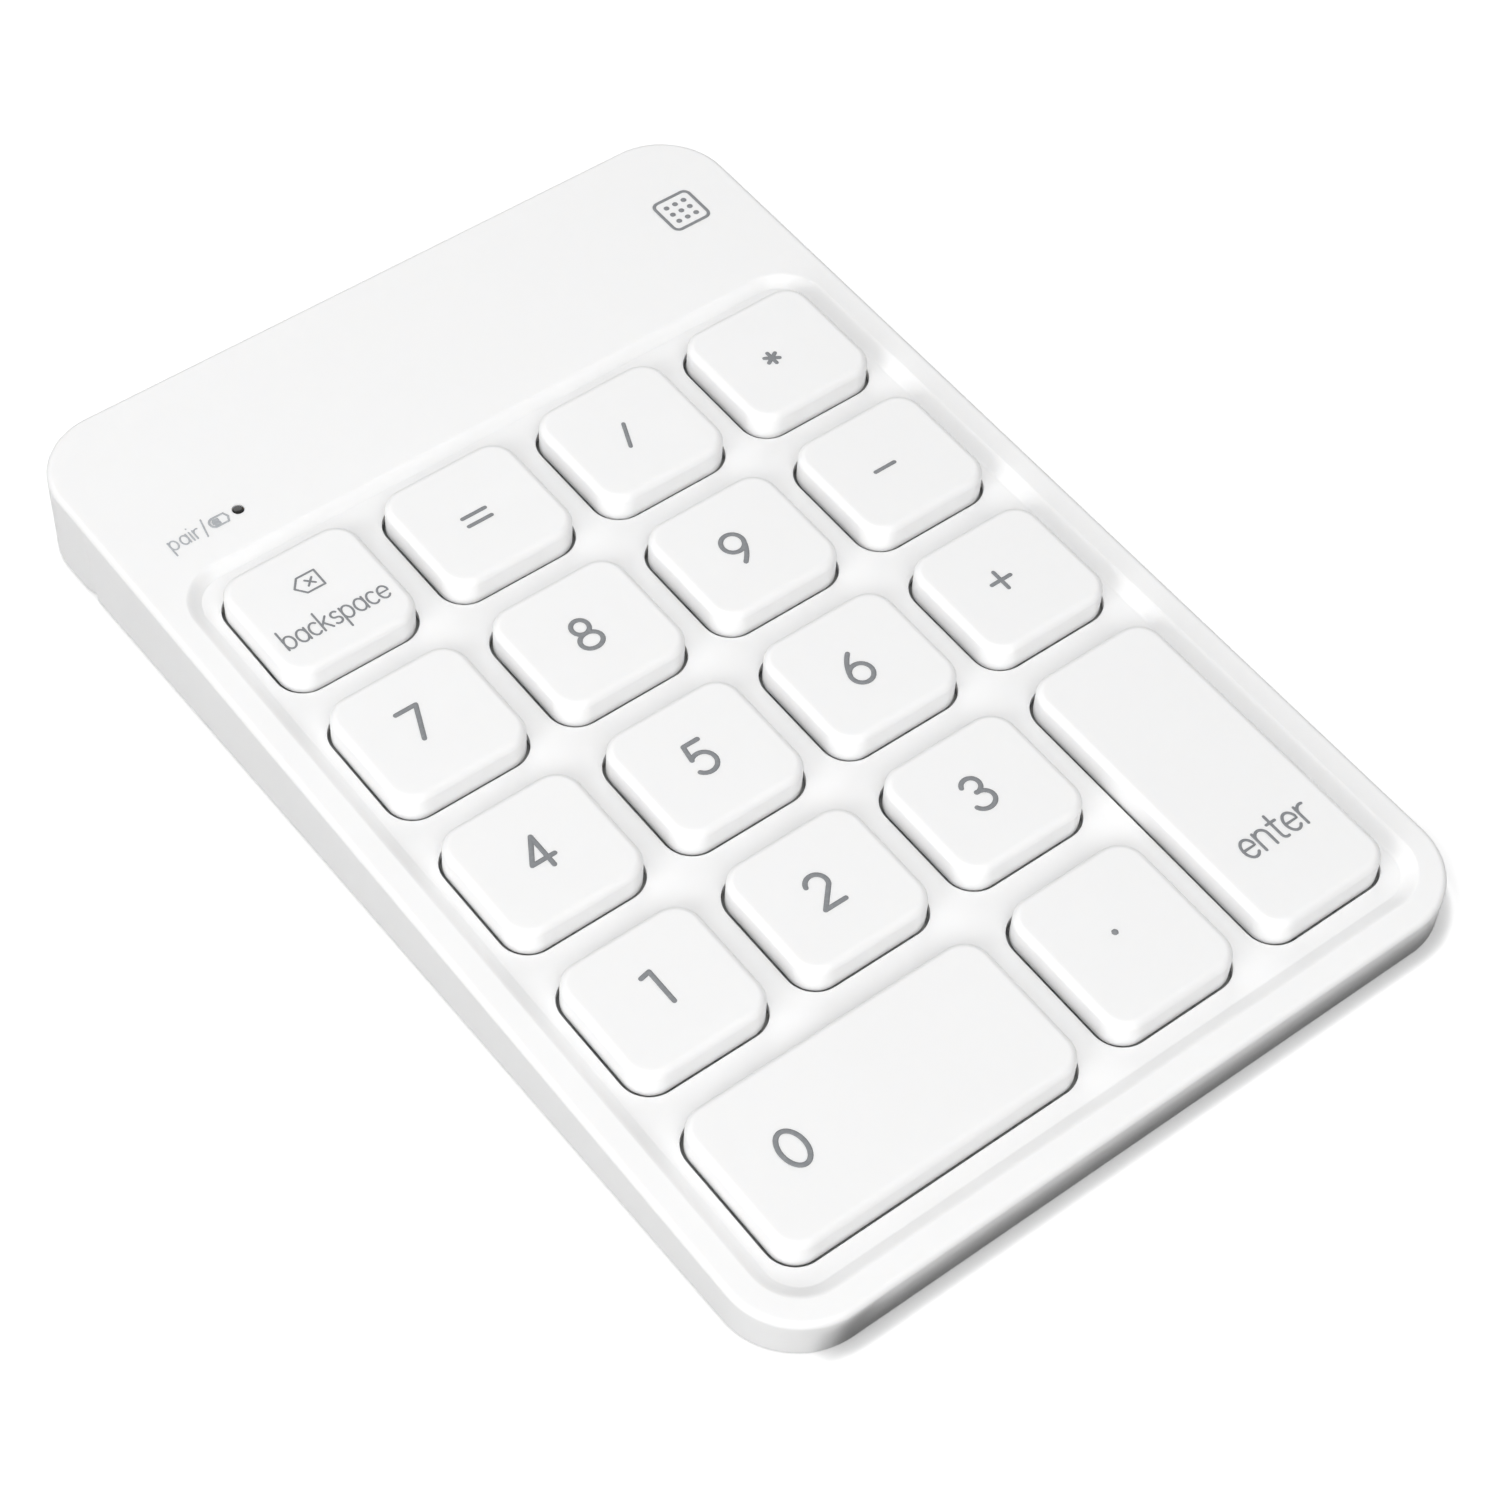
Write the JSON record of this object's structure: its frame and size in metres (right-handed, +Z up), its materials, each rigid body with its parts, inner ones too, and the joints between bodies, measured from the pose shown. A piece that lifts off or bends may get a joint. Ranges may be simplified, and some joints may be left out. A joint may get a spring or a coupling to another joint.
{
  "type": "numeric keypad",
  "caption": "Slim wireless number pad in white plastic: a wedge-shaped case with a shallow well, low rounded keys on sprung travel, a blank rear panel with a status light",
  "frame": {"origin": "centre of the bounding box, on the plane the feet stand on", "axes": "+X to the user's right, +Y away from the user towards the rear panel, +Z up"},
  "size_m": [0.084, 0.1274, 0.0119],
  "materials": {
    "case": "satin white",
    "key": "satin white",
    "rubber": "matt",
    "foot": "matt",
    "film": "clear film with printed tracks",
    "steel": "plain steel",
    "board": "green laminate",
    "tin": "tinned",
    "foil": "laminated foil",
    "black": "black",
    "led": "clear resin",
    "lens": "smoked"
  },
  "bodies": {
    "case": {"top_case": "case", "bottom_cover": "case", "dome_backspace": "rubber", "dome_equals": "rubber", "dome_divide": "rubber", "dome_multiply": "rubber", "dome_7": "rubber", "dome_8": "rubber", "dome_9": "rubber", "dome_minus": "rubber", "dome_4": "rubber", "dome_5": "rubber", "dome_6": "rubber", "dome_plus": "rubber", "dome_1": "rubber", "dome_2": "rubber", "dome_3": "rubber", "dome_0": "rubber", "dome_point": "rubber", "dome_enter": "rubber", "support_plate": "steel", "charging_socket": "steel", "screw_1": "steel", "screw_2": "steel", "screw_3": "steel", "screw_4": "steel", "membrane": "film", "circuit_board": "board", "radio_shield": "tin", "status_led": "led", "light_pipe": "lens", "battery_cell": "foil", "power_switch_body": "black", "pair_switch": "black", "foot_front_left": "foot", "foot_front_right": "foot", "foot_rear_left": "foot", "foot_rear_right": "foot"},
    "keycap_backspace": {"key_backspace": "key"},
    "keycap_equals": {"key_equals": "key"},
    "keycap_divide": {"key_divide": "key"},
    "keycap_multiply": {"key_multiply": "key"},
    "keycap_7": {"key_7": "key"},
    "keycap_8": {"key_8": "key"},
    "keycap_9": {"key_9": "key"},
    "keycap_minus": {"key_minus": "key"},
    "keycap_4": {"key_4": "key"},
    "keycap_5": {"key_5": "key"},
    "keycap_6": {"key_6": "key"},
    "keycap_plus": {"key_plus": "key"},
    "keycap_1": {"key_1": "key"},
    "keycap_2": {"key_2": "key"},
    "keycap_3": {"key_3": "key"},
    "keycap_0": {"key_0": "key"},
    "keycap_point": {"key_point": "key"},
    "keycap_enter": {"key_enter": "key"},
    "wire_0": {"stabiliser_0": "steel"},
    "wire_enter": {"stabiliser_enter": "steel"},
    "power_slider": {"power_switch_knob": "black"},
    "pair_plunger": {"pair_button": "case"}
  },
  "joints": [
    {"name": "press_backspace", "type": "slide", "parent": "case", "child": "keycap_backspace", "axis": [0, 0.0485, -0.9988], "range_m": [0, 0.0016], "stiffness_N_per_m": 300, "springref_m": -0.0005, "deforming": ["dome_backspace"]},
    {"name": "press_equals", "type": "slide", "parent": "case", "child": "keycap_equals", "axis": [0, 0.0485, -0.9988], "range_m": [0, 0.0016], "stiffness_N_per_m": 300, "springref_m": -0.0005, "deforming": ["dome_equals"]},
    {"name": "press_divide", "type": "slide", "parent": "case", "child": "keycap_divide", "axis": [0, 0.0485, -0.9988], "range_m": [0, 0.0016], "stiffness_N_per_m": 300, "springref_m": -0.0005, "deforming": ["dome_divide"]},
    {"name": "press_multiply", "type": "slide", "parent": "case", "child": "keycap_multiply", "axis": [0, 0.0485, -0.9988], "range_m": [0, 0.0016], "stiffness_N_per_m": 300, "springref_m": -0.0005, "deforming": ["dome_multiply"]},
    {"name": "press_7", "type": "slide", "parent": "case", "child": "keycap_7", "axis": [0, 0.0485, -0.9988], "range_m": [0, 0.0016], "stiffness_N_per_m": 300, "springref_m": -0.0005, "deforming": ["dome_7"]},
    {"name": "press_8", "type": "slide", "parent": "case", "child": "keycap_8", "axis": [0, 0.0485, -0.9988], "range_m": [0, 0.0016], "stiffness_N_per_m": 300, "springref_m": -0.0005, "deforming": ["dome_8"]},
    {"name": "press_9", "type": "slide", "parent": "case", "child": "keycap_9", "axis": [0, 0.0485, -0.9988], "range_m": [0, 0.0016], "stiffness_N_per_m": 300, "springref_m": -0.0005, "deforming": ["dome_9"]},
    {"name": "press_minus", "type": "slide", "parent": "case", "child": "keycap_minus", "axis": [0, 0.0485, -0.9988], "range_m": [0, 0.0016], "stiffness_N_per_m": 300, "springref_m": -0.0005, "deforming": ["dome_minus"]},
    {"name": "press_4", "type": "slide", "parent": "case", "child": "keycap_4", "axis": [0, 0.0485, -0.9988], "range_m": [0, 0.0016], "stiffness_N_per_m": 300, "springref_m": -0.0005, "deforming": ["dome_4"]},
    {"name": "press_5", "type": "slide", "parent": "case", "child": "keycap_5", "axis": [0, 0.0485, -0.9988], "range_m": [0, 0.0016], "stiffness_N_per_m": 300, "springref_m": -0.0005, "deforming": ["dome_5"]},
    {"name": "press_6", "type": "slide", "parent": "case", "child": "keycap_6", "axis": [0, 0.0485, -0.9988], "range_m": [0, 0.0016], "stiffness_N_per_m": 300, "springref_m": -0.0005, "deforming": ["dome_6"]},
    {"name": "press_plus", "type": "slide", "parent": "case", "child": "keycap_plus", "axis": [0, 0.0485, -0.9988], "range_m": [0, 0.0016], "stiffness_N_per_m": 300, "springref_m": -0.0005, "deforming": ["dome_plus"]},
    {"name": "press_1", "type": "slide", "parent": "case", "child": "keycap_1", "axis": [0, 0.0485, -0.9988], "range_m": [0, 0.0016], "stiffness_N_per_m": 300, "springref_m": -0.0005, "deforming": ["dome_1"]},
    {"name": "press_2", "type": "slide", "parent": "case", "child": "keycap_2", "axis": [0, 0.0485, -0.9988], "range_m": [0, 0.0016], "stiffness_N_per_m": 300, "springref_m": -0.0005, "deforming": ["dome_2"]},
    {"name": "press_3", "type": "slide", "parent": "case", "child": "keycap_3", "axis": [0, 0.0485, -0.9988], "range_m": [0, 0.0016], "stiffness_N_per_m": 300, "springref_m": -0.0005, "deforming": ["dome_3"]},
    {"name": "press_0", "type": "slide", "parent": "case", "child": "keycap_0", "axis": [0, 0.0485, -0.9988], "range_m": [0, 0.0016], "stiffness_N_per_m": 300, "springref_m": -0.0005, "deforming": ["dome_0"]},
    {"name": "press_point", "type": "slide", "parent": "case", "child": "keycap_point", "axis": [0, 0.0485, -0.9988], "range_m": [0, 0.0016], "stiffness_N_per_m": 300, "springref_m": -0.0005, "deforming": ["dome_point"]},
    {"name": "press_enter", "type": "slide", "parent": "case", "child": "keycap_enter", "axis": [0, 0.0485, -0.9988], "range_m": [0, 0.0016], "stiffness_N_per_m": 300, "springref_m": -0.0005, "deforming": ["dome_enter"]},
    {"name": "swing_wire_0", "type": "hinge", "parent": "case", "child": "wire_0", "pos_m": [-0.019, -0.04755, 0.00323], "axis": [-1, 0, 0], "range_deg": [0, 20.7]},
    {"name": "swing_wire_enter", "type": "hinge", "parent": "case", "child": "wire_enter", "pos_m": [0.0295, -0.03914, 0.00363], "axis": [0, 0.9988, 0.0485], "range_deg": [0, 20.7]},
    {"name": "slide_power", "type": "slide", "parent": "case", "child": "power_slider", "axis": [1, 0, 0], "range_m": [0, 0.002]},
    {"name": "press_pair", "type": "slide", "parent": "case", "child": "pair_plunger", "axis": [0, -0.0485, 0.9988], "range_m": [0, 0.0003], "stiffness_N_per_m": 3000, "springref_m": -0.0003}
  ],
  "couplings": [
    {"joint": "swing_wire_0", "follows": "press_0", "rad_per_m": 224.71},
    {"joint": "swing_wire_enter", "follows": "press_enter", "rad_per_m": 224.71}
  ]
}
